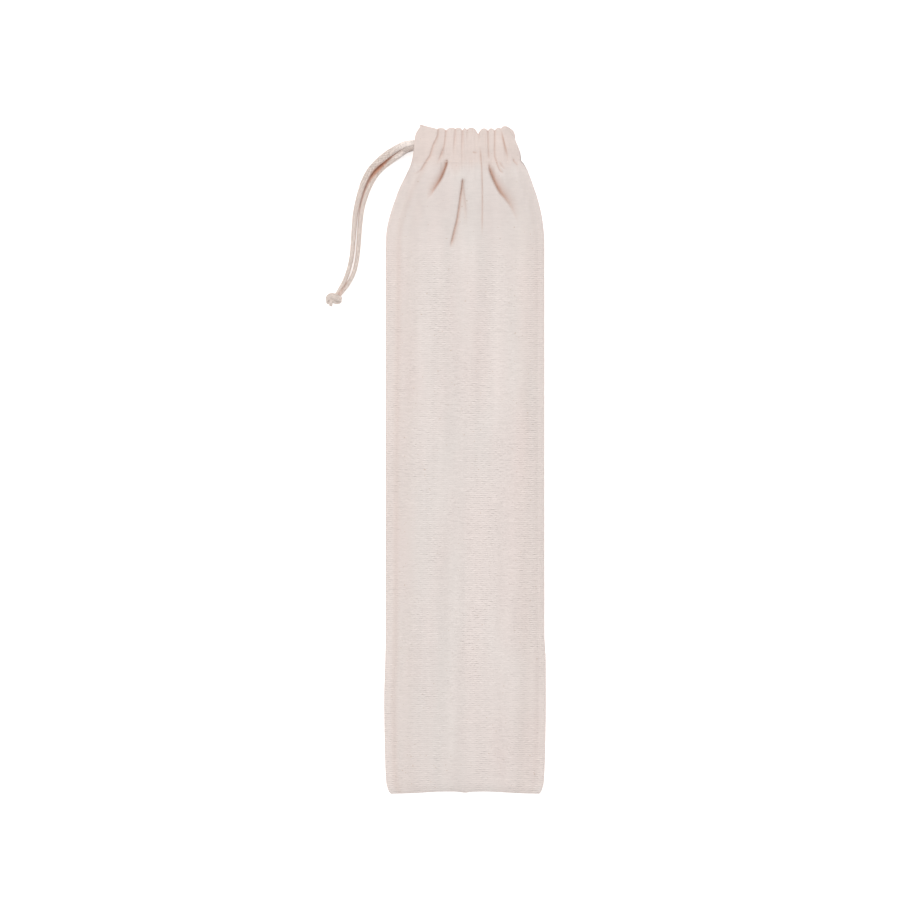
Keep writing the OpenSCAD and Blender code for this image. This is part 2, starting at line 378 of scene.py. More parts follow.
def tube_faces(rings, sides):
    """Faces of a closed tube of so many rings of points."""
    i, k = np.mgrid[0 : rings - 1, 0:sides].reshape(2, -1) * [[sides], [1]]
    after = (k + 1) % sides
    walls = np.column_stack([i + k, i + after, i + sides + after, i + sides + k]).tolist()
    return walls + [list(range(sides - 1, -1, -1)), list(range((rings - 1) * sides, rings * sides))]


def tube_mesh(path, radius, sides):
    """(points, faces) of a closed round tube."""
    rings, _ = tube_points(path, radius, sides)
    return rings.reshape(-1, 3), tube_faces(len(rings), sides)


def joined(parts):
    """One (points, faces) of several."""
    points, faces, n = [], [], 0
    for p, f, *_ in parts:
        points.append(p)
        faces += [[k + n for k in face] for face in f]
        n += len(p)
    return np.vstack(points), faces


# ---------------------------------------- camera, light and floor

def make_camera():
    """Straight above the pouch, far enough away to show next to no perspective."""
    height = 8.0
    view_width = 0.3749  # on the floor
    data = bpy.data.cameras.new("camera")
    data.sensor_width = 36
    data.lens = data.sensor_width * height / view_width
    data.clip_end = 40
    camera = bpy.data.objects.new("camera", data)
    camera.location = (-0.00163, -0.00073, height)
    bpy.context.scene.collection.objects.link(camera)
    bpy.context.scene.camera = camera


def area_light(name, place, size, power):
    data = bpy.data.lights.new(name, "AREA")
    data.shape = "SQUARE"
    data.size = size
    data.energy = power
    light = bpy.data.objects.new(name, data)
    light.location = place
    light.rotation_euler = (-Vector(place)).to_track_quat("-Z", "Y").to_euler()
    bpy.context.scene.collection.objects.link(light)


def make_studio():
    world = bpy.data.worlds.new("studio")
    bpy.context.scene.world = world
    world.use_nodes = True
    sky = world.node_tree.nodes["Background"]
    sky.inputs[0].default_value = (1, 1, 1, 1)
    sky.inputs[1].default_value = 0.52
    area_light("key", (-0.34, 0.46, 1.5), 1.2, 13.4)
    area_light("fill", (1.0, -0.5, 1.3), 1.2, 3.6)
    bpy.context.scene.view_settings.view_transform = "Standard"
    bpy.ops.mesh.primitive_plane_add(size=5, location=(0, 0, -0.00015))
    floor = bpy.context.object
    floor.name = "floor"
    floor.data.materials.append(floor_paper())


make_camera()
make_studio()


# ---------------------------------------- the cord

# The tails' routes, in metres, as in the design
OUTER_ROUTE = [
    (-0.0215, 0.1284, 0.0105), (-0.0245, 0.1279, 0.0099), (-0.0276, 0.1264, 0.0083),
    (-0.0310, 0.1243, 0.0061), (-0.0346, 0.1215, 0.0039), (-0.0380, 0.1180, 0.0022),
    (-0.0406, 0.1138, 0.0015), (-0.0423, 0.1092, 0.0013), (-0.0436, 0.1044, 0.0013),
    (-0.0446, 0.0994, 0.0013), (-0.0451, 0.0940, 0.0013), (-0.0455, 0.0886, 0.0013),
    (-0.0460, 0.0830, 0.0013), (-0.0471, 0.0776, 0.0014), (-0.0489, 0.0726, 0.0017),
    (-0.0506, 0.0694, 0.0022), (-0.0520, 0.0669, 0.0026),
]
INNER_ROUTE = [
    (-0.0215, 0.1264, 0.0019), (-0.0242, 0.1255, 0.0017), (-0.0274, 0.1234, 0.0014),
    (-0.0310, 0.1209, 0.0013), (-0.0344, 0.1181, 0.0013), (-0.0370, 0.1148, 0.0013),
    (-0.0391, 0.1108, 0.0013), (-0.0408, 0.1060, 0.0013), (-0.0420, 0.1012, 0.0013),
    (-0.0426, 0.0962, 0.0013), (-0.0430, 0.0910, 0.0013), (-0.0434, 0.0858, 0.0013),
    (-0.0440, 0.0808, 0.0013), (-0.0452, 0.0759, 0.0014), (-0.0472, 0.0718, 0.0017),
    (-0.0494, 0.0688, 0.0022), (-0.0514, 0.0664, 0.0026),
]
KNOT_CENTRE = (cad("cord_knot")[0] + cad("cord_knot")[1]) / 2
STRANDS = 8  # each way round the braid
BRAID_PITCH = 7.6
RING = 0.16  # between the rings of a braid


def braided(path, radius, sides, ring):
    """(points, faces, painted shade between the strands) of a tubular braid along a path: strands both ways, over
    and under each other.
    radius is one number, or several that are spread evenly along the path."""
    path = even(path, ring)
    rings, _ = tube_points(path, 1.0, sides)
    run = np.arange(len(path)) * ring
    a = np.arange(sides) * 2 * math.pi / sides
    turn = 2 * math.pi * run[:, None] / BRAID_PITCH
    one, two = np.cos(STRANDS / 2 * (a - turn)), np.cos(STRANDS / 2 * (a + turn))
    over = 0.5 + 0.5 * one * two
    relief = np.maximum(np.abs(one) * (0.5 + 0.5 * over), np.abs(two) * (1.0 - 0.5 * over))
    given = np.atleast_1d(radius)
    radius = np.interp(np.linspace(0, 1, len(path)), np.linspace(0, 1, len(given)), given)
    r = radius[:, None] * (0.72 + 0.30 * relief)
    points = path[:, None] + r[..., None] * (rings - path[:, None])
    # painted shade where the surface lies low between the strands
    strand_shade = 1 - ease(relief, 0.5, 0.85)
    return points.reshape(-1, 3), tube_faces(len(path), sides), strand_shade.reshape(-1)


def cord_piece(name, points, faces, strand_shade, painted_shade=0.0):
    # the cord's painted strand shade and its warm painted shade go into the attributes its material reads
    values = {"layers_and_yarn_shade": strand_shade, "painted_shade": np.zeros(len(strand_shade)) + painted_shade}
    return new_mesh(name, points, faces, CORD_MATERIAL, values)


def gap_to(points, line):
    """How far each of the points is from the nearest point of a line."""
    gap = np.zeros(len(points))
    for start in range(0, len(points), 20000):
        part = points[start : start + 20000]
        gap[start : start + 20000] = np.linalg.norm(part[:, None] - line[None], axis=2).min(1)
    return gap


# Each tail's route, its radius at the shares in RADIUS_AT, and (lift, x) where it lies closer to the other tail
TAILS = {
    "outer_tail": (OUTER_ROUTE, [1.2, 1.42, 1.54, 1.5, 1.27, 1.1, 0.96, 0.92], (-2.2, -28.5)),
    "inner_tail": (INNER_ROUTE, [1.18, 1.38, 1.48, 1.34, 1.09, 0.96, 0.9, 0.9], (2.8, -26.2)),
}
RADIUS_AT = [0, 0.1, 0.2, 0.32, 0.46, 0.62, 0.8, 1]
START_INSIDE = 2.6  # how far inside the casing's end a tail's own piece begins


def tail_path(name):
    route, radii, (lift, lift_x) = TAILS[name]
    route = np.array(route) / MM
    path = even(np.vstack([route[0] + [START_INSIDE, 0, 0], spline(route, 6)]), RING)
    radius = np.interp(np.linspace(0, 1, len(path)), RADIUS_AT, radii)
    path[:, 2] += lift * bell(path[:, 0], lift_x, 3.5)
    path[:, 2] = np.maximum(path[:, 2], 1.03 * radius)
    return path, radius


def make_tail(name):
    path, radius = tail_path(name)
    other, other_radius = tail_path("inner_tail" if name == "outer_tail" else "outer_tail")
    points, faces, strand_shade = braided(path, radius, 56, RING)
    flat = np.array([1, 1, 0 if name == "inner_tail" else 1])  # the lower tail gets painted shade all along the upper one's edge
    gap = gap_to(points * flat, other[::4] * flat) - float(other_radius.mean())
    x = points[:, 0]
    crossing = bell(x, -34.5, 5.0)
    # warm painted shade where the tails lie close together, widest where they cross
    tail_shade = (1 - ease(gap, 0.9 * crossing, 0.4 + 2.1 * crossing)) * (0.65 + 0.3 * crossing)
    tail_shade *= ease(-x, 22.5, 27) * (1 - 0.55 * ease(-x, 43, 47))
    # painted light: less painted strand shade near the casing's end, to lighten the tails there in the casing's
    # shadow
    strand_shade *= 1 - 0.9 * bell(x, -23, 5)
    tail = cord_piece(f"{name}_cord", points, faces, strand_shade, tail_shade)
    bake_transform(tail)
    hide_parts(name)
    return tail, path


def make_loop():
    """The cord inside the casing, from its left end along the front, round the right end and back."""
    front, back = np.array(OUTER_ROUTE[0]) / MM, np.array(INNER_ROUTE[0]) / MM
    turn_x = cad("drawstring_loop")[1][0] - CORD_D / 2 - np.linalg.norm(front - back) / 2
    shift = np.array([turn_x - front[0], 0, 0])
    inside = np.array([START_INSIDE - 0.4, 0, 0])
    middle, reach = (front + back) / 2 + shift, (front - back) / 2
    bend = [
        middle + math.cos(a) * reach + np.array([np.linalg.norm(reach) * math.sin(a), 0, 0])
        for a in np.linspace(0, math.pi, 25)
    ]
    path = np.vstack([front + inside, bend, back + inside])
    points, faces, strand_shade = braided(path, [CORD_D / 2, 1.0, 1.0, CORD_D / 2], 24, 0.4)  # the gathers press it
    loop = cord_piece("loop_cord", points, faces, strand_shade)
    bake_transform(loop)
    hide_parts("drawstring_loop")


def frayed(centre, heading, count, reach):
    """Parts for the short fibres at a cut end."""
    rng = np.random.default_rng(count)
    parts = []
    for _ in range(count):
        bend = rng.normal(0, 0.16, 3)
        start = centre + rng.normal(0, 0.34, 3) * (1 - np.abs(heading))
        line = np.array([
            start + heading * t * reach * rng.uniform(0.7, 1.2) + bend * t * t for t in (0, 0.4, 0.75, 1.0)
        ])
        line[:, 2] = np.maximum(line[:, 2], 0.12)
        # the fibres get a little painted strand shade
        parts.append((*tube_mesh(line, np.array([0.1, 0.09, 0.07, 0.03]), 5), np.full(20, 0.15)))
    return parts


# The knot's path from the tails on, in millimetres from its middle: under, round the left, over as a band that
# runs down to the right, back under, and out at the bottom
KNOT_LINE = [
    (2.4, 2.5, -0.6), (1.4, 1.5, -1.0), (0.0, 0.4, -1.3), (-1.5, -0.5, -1.1), (-2.35, -0.1, -0.3),
    (-2.1, 0.75, 0.7), (-1.0, 1.35, 1.25), (0.3, 1.1, 1.55), (1.6, 0.55, 1.35), (2.5, 0.05, 0.5),
    (2.3, -0.5, -0.5), (1.3, -0.85, -0.5), (0.5, -0.75, 0.5), (-0.3, -0.35, 1.35), (-1.0, -0.7, 1.25),
    (-1.2, -1.5, 0.5), (-1.3, -2.1, -0.2),
]


def make_knot():
    """Both tails tied in one tight overhand knot."""
    parts = []
    for apart in (-0.5, 0.5):
        path = even(spline(KNOT_LINE, 8), RING)
        _, across = tube_points(path, 1.0, 4, up=(0.5, -0.6, 0.3))
        path = path + across * apart + KNOT_CENTRE
        path[:, 2] = np.maximum(path[:, 2], 0.86)
        parts.append(braided(path, [0.9, 0.86, 0.84, 0.88, 0.95, 0.9, 0.84, 0.9, 0.86, 0.5], 44, 0.15))
    knot = cord_piece("knot_cord", *joined(parts), np.concatenate([p[2] for p in parts]))
    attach(knot, "drawstring")
    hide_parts("cord_knot")
    return knot


def make_cut_ends():
    """The two cut ends past the knot, each with its fibres a little open."""
    parts = []
    for line in (
        [(-0.9, -1.4, 0.5), (-1.1, -1.9, -0.2), (-1.25, -2.25, -0.9)],
        [(-1.5, -0.9, 0.2), (-2.1, -1.1, -0.5), (-2.5, -1.35, -1.0)],
    ):
        path = spline(line, 6) + KNOT_CENTRE
        heading = path[-1] - path[-3]
        heading /= np.linalg.norm(heading)
        parts.append(braided(path, 0.66, 30, RING))
        parts += frayed(path[-1], heading, 22, 0.5)
    ends = cord_piece("cut_ends_cord", *joined(parts), np.concatenate([p[2] for p in parts]))
    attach(ends, "drawstring")
    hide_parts("cord_ends")
    return ends


def make_cords():
    knot, ends = make_knot(), make_cut_ends()
    for name, route, on_it in (("outer_tail", OUTER_ROUTE, [knot, ends]), ("inner_tail", INNER_ROUTE, [])):
        tail, path = make_tail(name)
    make_loop()


make_cords()


# ---------------------------------------- outline of the cloth

# (y, x) along each side, from the closed bottom to the casing's upper corners
LEFT_EDGE = curve([
    (-136, -30.2), (-135, -31.0), (-133, -31.7), (-131, -32.1), (-122, -32.5), (-98, -32.9), (-74, -32.3),
    (88, -32.3), (93, -31.9), (99, -30.6), (104, -29.0), (110, -26.8), (116, -23.8), (120, -22.0),
    (123, -21.3), (126, -20.9), (129, -20.6), (131.5, -20.4), (133.4, -19.9), (134.8, -19.1), (136, -18.3),
])
RIGHT_EDGE = curve([
    (-136, 30.2), (-135, 31.0), (-133, 31.7), (-131, 32.1), (-122, 32.5), (-98, 32.9), (-80, 32.8),
    (-72, 32.3), (88, 32.3), (93, 32.0), (99, 31.2), (105, 29.8), (111, 27.8), (117, 25.5), (120, 23.9),
    (121.6, 22.8), (124.5, 22.5), (128, 21.5), (Y_RIGHT_TOP, 20.0),
])
EDGES = {-1: LEFT_EDGE, 1: RIGHT_EDGE}
# (y, width) of the turned-in cloth that shows along each side
LEFT_STRIP = curve([(-136, 3.5), (-60, 3.7), (40, 4.4), (90, 5.0), (120, 5.4)])
RIGHT_STRIP = curve([(-136, 2.9), (0, 2.3), (90, 2.4), (120, 2.8)])
# (share across, y) of the gathered top edge, before its notches
TOP_EDGE = curve([
    (0, 136.0), (0.18, 134.5), (0.36, 134.7), (0.5, 134.8), (0.66, 134.5), (0.82, 134.8), (0.9, 135.4),
    (0.95, 134.6), (0.985, 133.2), (1, Y_RIGHT_TOP),
])
# (share across, how far the bottom edge is drawn up)
BOTTOM_SAG = curve([
    (0, 0), (0.08, 0.06), (0.38, 0.85), (0.44, 0.8), (0.5, 0.4), (0.56, 0.8), (0.62, 0.85), (0.92, 0.06), (1, 0),
])
# (x, depth, half width) of the notches between the gathers
NOTCHES = [
    (-11.5, 0.5, 0.5), (-7.7, 1.1, 0.7), (-3.9, 0.5, 0.5), (-1.1, 1.3, 0.5), (0.8, 1.0, 0.6), (5.3, 2.6, 0.9),
    (9.3, 1.2, 0.6), (12.0, 1.2, 0.7), (14.5, 0.8, 0.6),
]


class Fold:
    """A fold in the cloth: a line of (x, y) going down the pouch, its depth, and how wide it is on its left and
    right side, each as (width at its top, width at its end). shade is the painted shade along its line, broad adds
    a wide hollow on the softer side, and glow paints there the warm shade of the light that the cloth throws back
    on itself."""

    def __init__(self, line, depth, left, right, shade=0.3, broad=0.0, hollow_shade=0.0, fade_in=0.1, fade_out=0.5):
        self.line = spline([(x, y, 0) for x, y in line], 10)[:, :2]
        self.depth, self.left, self.right = depth, left, right
        self.shade, self.broad, self.hollow_shade = shade, broad, hollow_shade
        self.fade_in, self.fade_out = fade_in, fade_out

    def at(self, x, y):
        """(depth, painted shade) of this fold at the points x, y."""
        p = np.stack([x.ravel(), y.ravel()], 1)
        a, b = self.line[:-1], self.line[1:]
        ab = b - a
        t = np.einsum("nk,mk->nm", p, ab) - (a * ab).sum(1)
        t = np.clip(t / (ab**2).sum(1), 0, 1)
        gap = p[:, None] - (a[None] + t[..., None] * ab[None])
        far = np.linalg.norm(gap, axis=2)
        i = far.argmin(1)
        row = np.arange(len(p))
        d = far[row, i]
        on_left = ab[i, 0] * gap[row, i, 1] - ab[i, 1] * gap[row, i, 0] < 0
        along = (i + t[row, i]) / len(ab)
        left = self.left[0] + (self.left[1] - self.left[0]) * along
        right = self.right[0] + (self.right[1] - self.right[0]) * along
        width = np.where(on_left, left, right)
        soft = np.maximum(left, right)
        strength = ease(along, 0, self.fade_in) * (1 - ease(along, 1 - self.fade_out, 1))
        valley = self.depth * np.exp(-d / width)
        valley += self.broad * np.exp(-((d / np.where(width < soft, 0.9 * width + 0.3, 2.2 * width)) ** 2))
        # painted shade along the fold's line, and a warm painted shade over its hollow
        dark = self.shade * np.exp(-((d / (0.12 + 0.4 * width)) ** 1.2))
        dark += self.hollow_shade * np.exp(-((d / np.where(width < soft, 0.9 * width + 0.2, 1.5 * width)) ** 1.6))
        return (valley * strength).reshape(x.shape), (dark * strength).reshape(x.shape)


FOLDS = [
    Fold([(-11.0, 136), (-11.2, 132.2), (-12.6, 129), (-13.4, 126.5), (-14.2, 123.7), (-15.7, 121.2),
          (-17.3, 118.4), (-18.3, 117.2), (-20.3, 116), (-22.8, 115)],
         0.75, (0.25, 0.5), (0.8, 1.2), shade=0.36, fade_in=0.01, fade_out=0.3),
    Fold([(-7.8, 136), (-7.9, 133.3), (-8.2, 130), (-8.6, 127.5), (-9.4, 124.9), (-10.7, 121.4), (-11.9, 118.8)],
         0.7, (0.3, 0.6), (0.7, 0.9), shade=0.32, fade_in=0.01, fade_out=0.35),
    Fold([(-8.7, 127), (-9.9, 123.2), (-11.9, 120.4)], 0.3, (0.4, 0.5), (0.3, 0.5), shade=0.1, fade_in=0.3),
    Fold([(-3.8, 136), (-4.2, 131), (-4.6, 127), (-4.8, 121)],
         0.5, (0.3, 0.5), (0.7, 0.8), shade=0.2, fade_in=0.01),
    Fold([(-1.1, 136), (-1.1, 132), (-1.3, 126), (-1.2, 116)],
         0.5, (0.3, 0.3), (0.6, 0.6), shade=0.2, fade_in=0.01),
    Fold([(0.9, 136), (0.9, 132), (1.1, 127)],
         0.5, (0.4, 0.4), (0.6, 0.6), shade=0.14, fade_in=0.01, fade_out=0.8),
    Fold([(3.1, 136), (3.0, 133.4), (2.9, 131)],
         0.4, (0.4, 0.4), (0.4, 0.4), shade=0.12, fade_in=0.01, fade_out=0.8),
    Fold([(5.4, 136), (5.6, 132), (5.9, 128)],
         0.9, (0.9, 0.7), (0.5, 0.5), shade=0.16, fade_in=0.01, fade_out=0.8),
    Fold([(6.2, 128), (6.5, 122.3), (6.9, 116.8), (7.1, 106.6), (7.0, 89.6)],
         0.42, (0.6, 0.35), (0.2, 0.22), shade=0.46, fade_in=0.2, fade_out=0.12),
    Fold([(8.0, 134), (8.2, 130), (8.1, 126)], 0.25, (0.3, 0.3), (0.5, 0.5), shade=0.1, fade_in=0.3),
    Fold([(9.2, 136), (9.4, 131), (9.5, 126), (9.8, 121)],
         0.6, (0.6, 0.5), (0.3, 0.5), shade=0.26, fade_in=0.01, fade_out=0.2),
    Fold([(12.1, 136), (12.0, 130), (12.0, 124), (12.5, 121.6), (14.0, 117.6), (16.2, 115.6)],
         0.7, (0.3, 0.35), (0.7, 0.8), shade=0.34, fade_in=0.01, fade_out=0.15),
    Fold([(13.6, 121.6), (14.6, 119.4), (15.9, 118.2), (16.6, 117.2)],
         0.45, (0.25, 0.3), (0.6, 0.6), shade=0.3, fade_in=0.3),
    Fold([(14.5, 135.5), (15.2, 132.5), (15.9, 129.3), (16.6, 126.2), (17.2, 123.4), (17.1, 120.6)],
         0.7, (0.8, 1.0), (0.2, 0.3), shade=0.55, fade_in=0.3),
    Fold([(19.3, 122.6), (19.9, 121.0), (21.0, 119.9), (22.3, 118.9)],
         0.6, (0.3, 0.4), (0.6, 0.8), shade=0.4, fade_in=0.2),
    Fold([(2.9, 125.5), (4.0, 124.8), (5.4, 125.1)], 0.35, (0.2, 0.2), (0.2, 0.2), shade=0.55, fade_in=0.3),
    Fold([(-7.2, 122.4), (-7.6, 119.3), (-8.9, 115.8), (-10.2, 113.2), (-12.7, 109.4), (-14.4, 106.8),
          (-17.8, 103.4)],
         1.35, (0.45, 2.6), (0.28, 0.4), shade=0.6, broad=0.65, hollow_shade=0.3, fade_in=0.12, fade_out=0.6),
    Fold([(-1.0, 114.4), (-1.3, 110.7), (-1.8, 107.6), (-2.2, 104.8)],
         0.4, (0.2, 0.2), (0.5, 0.7), shade=0.76, fade_in=0.15),
    Fold([(-1.0, 114.4), (-1.3, 110.7), (-1.8, 107.6), (-2.5, 102.5), (-3.3, 97.5), (-4.3, 93.4), (-5.3, 89.3),
          (-6.2, 85.4)],
         0.75, (0.2, 0.2), (0.5, 1.0), shade=0.5, broad=0.4, hollow_shade=0.16, fade_in=0.06, fade_out=0.15),
    Fold([(-0.9, 113), (-0.3, 107), (0.3, 101.5), (0.6, 92)],
         0.5, (0.9, 1.6), (0.3, 0.5), shade=0.16, hollow_shade=0.14, fade_in=0.2),
    Fold([(9.8, 121.8), (9.9, 118.3), (10.7, 115.8), (12.2, 112.2), (14.2, 108.6), (16.3, 106.1), (18.8, 102.5),
          (20.8, 97.5), (22, 92)],
         1.35, (0.25, 0.6), (0.42, 3.2), shade=0.52, broad=0.7, hollow_shade=0.33, fade_in=0.2, fade_out=0.6),
]


def fold_field(x, y):
    """(depth, painted shade) of all the folds together at the points x, y."""
    depth, dark = np.zeros_like(x), np.zeros_like(x)
    near = y > Y_SHOULDER - 6
    for fold in FOLDS:
        d, s = fold.at(x[near], y[near])
        depth[near] += d
        dark[near] = np.maximum(dark[near], s)
    return depth, dark


# ---------------------------------------- the two cloths

COLUMNS = 241
BOTTOM_STEPS = [0, 0.25, 0.6, 1.0, 1.5, 2.2, 3.0, 4.0, 5.5, 7.5, 10, 13, 16.5, 20.5]  # rows near the bottom
PANEL_ROWS = 51  # from there up to the shoulder
SHOULDER_ROWS = 78
CASING_ROWS, TURN_ROWS, HEM_ROWS = 32, 9, 28  # of the casing's outside, its top edge and its inside
PANEL, OUTSIDE, TURN, INSIDE = range(4)  # kinds of row
TURN_DEPTH = 1.1  # how far the casing's round top edge reaches down
Z_FRONT_MID = (Z_FRONT_LOW + Z_FRONT_HIGH) / 2
Z_SIDE = Z_FRONT_HIGH / 2  # where front and back meet at the right end of the neck
OUTSIDE_GAP, INSIDE_GAP = 0.15, 0.75  # how far from there the cloths' outsides and turned-in sides stay
GATHER_RISE = 0.6  # how far the gathers stand above the casing's own height


def puff(y):
    """Half the casing's thickness: most over the cord, little at the stitching and the top edge."""
    cord_y = (OUTER_ROUTE[0][1] + INNER_ROUTE[0][1]) / 2 / MM
    return 1.2 + 0.9 * bell(y, cord_y, 3.4)


def neck_top(y):
    """Height of the front of the gathered neck."""
    return Z_FRONT_MID + puff(y) + GATHER_RISE


def rise(s, reach):
    """A pillow's edge: 0 at the seam and 1 from reach inwards."""
    return 1 - (1 - np.clip(s / reach, 0, 1)) ** 2.3


def side_end(z, end, s_right, reach=4):
    """Height z, brought to the height end at the neck's right end."""
    return z + (end - z) * (1 - rise(s_right, reach))


def body_rows():
    low = [Y_BOTTOM + d for d in BOTTOM_STEPS]
    long = np.linspace(low[-1], Y_SHOULDER, PANEL_ROWS + 1)[1:]
    return np.concatenate([low, long, np.linspace(Y_SHOULDER, Y_CASING, SHOULDER_ROWS + 1)[1:]])


def plan(u):
    """(rows, the casing's first row). A row is (x, y, kind, v), where v is how far up the casing it is, or the
    angle round its top edge."""
    rows = []
    for y in body_rows():
        x = LEFT_EDGE(y) + u * (RIGHT_EDGE(y) - LEFT_EDGE(y))
        rows.append((x, y + BOTTOM_SAG(u) * max(0.0, 1 - (y - Y_BOTTOM) / 18), PANEL, 0.0))
    first = len(rows) - 1
    top_x = LEFT_EDGE(Y_TAB) + u * (RIGHT_EDGE(Y_RIGHT_TOP) - LEFT_EDGE(Y_TAB))
    top_y = TOP_EDGE(u) - sum(depth * np.exp(-np.abs((top_x - x) / w) ** 1.3) for x, depth, w in NOTCHES)

    def casing_line(v):
        left = LEFT_EDGE(Y_CASING + v * (Y_TAB - Y_CASING))
        right = RIGHT_EDGE(Y_CASING + v * (Y_RIGHT_TOP - Y_CASING))
        return left + u * (right - left), Y_CASING + v * (top_y - Y_CASING)

    up = np.linspace(0, 1, CASING_ROWS + 1)[1:-2]
    rows += [(*casing_line(v), OUTSIDE, v) for v in up]
    rows += [(*casing_line(1.0), TURN, a) for a in np.linspace(0, math.pi, TURN_ROWS)]
    rows += [(*casing_line(v), INSIDE, v) for v in up[::-1][:HEM_ROWS]]
    return rows, first


def wander(x, y):
    """The slight waves of cloth that has been folded and laid out."""
    waves = 0.20 * np.sin(x / 3.1 + 0.9 * np.sin(y / 31)) * (0.6 + 0.4 * np.sin(y / 47 + 1))
    waves += 0.07 * np.sin(x / 1.6 + 1.3 * np.sin(y / 23 + 2)) * (0.5 + 0.5 * np.sin(y / 17))
    waves += 0.22 * np.sin(y / 26 + 0.4) * np.cos(x / 14 + 0.7)
    for at, depth in ((58.5, 0.10), (-33, 0.09), (-62.5, 0.11)):
        waves -= depth * np.exp(-np.abs(y - at - 0.5 * np.sin(x / 9)) / 1.1)
    return waves


def pleats(x, y):
    """The small upright waves between the casing's deeper folds."""
    up = ease(y, Y_CASING - 12, Y_CASING + 2)
    waves = 0.16 * np.sin(2.15 * x + 0.8 * np.sin(y / 3.3) + 0.6 * np.sin(x / 3.7))
    waves += 0.05 * np.sin(3.7 * x + 0.9 * np.sin(y / 2.1 + 1) + 1.0)
    waves += 0.14 * np.sin(x / 1.3 + y / 2.4) * np.sin(y / 2.7 + x / 5)
    return waves * up * ease(x, X_LEFT_END + 8, X_LEFT_END + 13)


def doubled(x, y):
    """How far the turned-in layer of the casing shows through."""
    hem = Y_CASING - 0.6 + 1.2 * np.sin(x / 2.3) + 0.8 * np.sin(x / 1.1 + 2)
    return ease(y, hem - 4.0, hem + 2.5)


def ribs_at(y):
    """How far the weave's ribs show: along the body, and next to not where the cloth is gathered."""
    return 1 - 0.9 * ease(y, Y_SHOULDER - 8, Y_SHOULDER + 12)


def strips(s_left, s_right, y, before=0.3, after=0.3):
    """1 on the turned-in cloth along each side, and 0 elsewhere. before and after soften the left one's edge."""
    left = 1 - ease(s_left, LEFT_STRIP(y) - before, LEFT_STRIP(y) + after)
    return np.maximum(left, 1 - ease(s_right, RIGHT_STRIP(y) - 0.3, RIGHT_STRIP(y) + 0.3))


def start_cloth():
    """(rows, the casing's first row, x, y, points to fill, layers to fill) of either cloth."""
    rows, first = plan(np.linspace(0, 1, COLUMNS))
    x, y = (np.array([row[k] for row in rows]) for k in (0, 1))
    return rows, first, x, y, np.zeros((*x.shape, 3)), np.zeros(x.shape)


def row_points(x, y, z, kind, v, s_right):
    """Points of a row. The casing's rows make room for its round top edge, and its inside is a little narrower."""
    if kind == TURN:
        return np.stack([x, y - TURN_DEPTH + TURN_DEPTH * math.sin(v), z], 1)
    inset = 0.9 * np.clip(1 - s_right / 12, 0, 1) if kind == INSIDE else 0
    return np.stack([x - inset, y - TURN_DEPTH * v, z], 1)


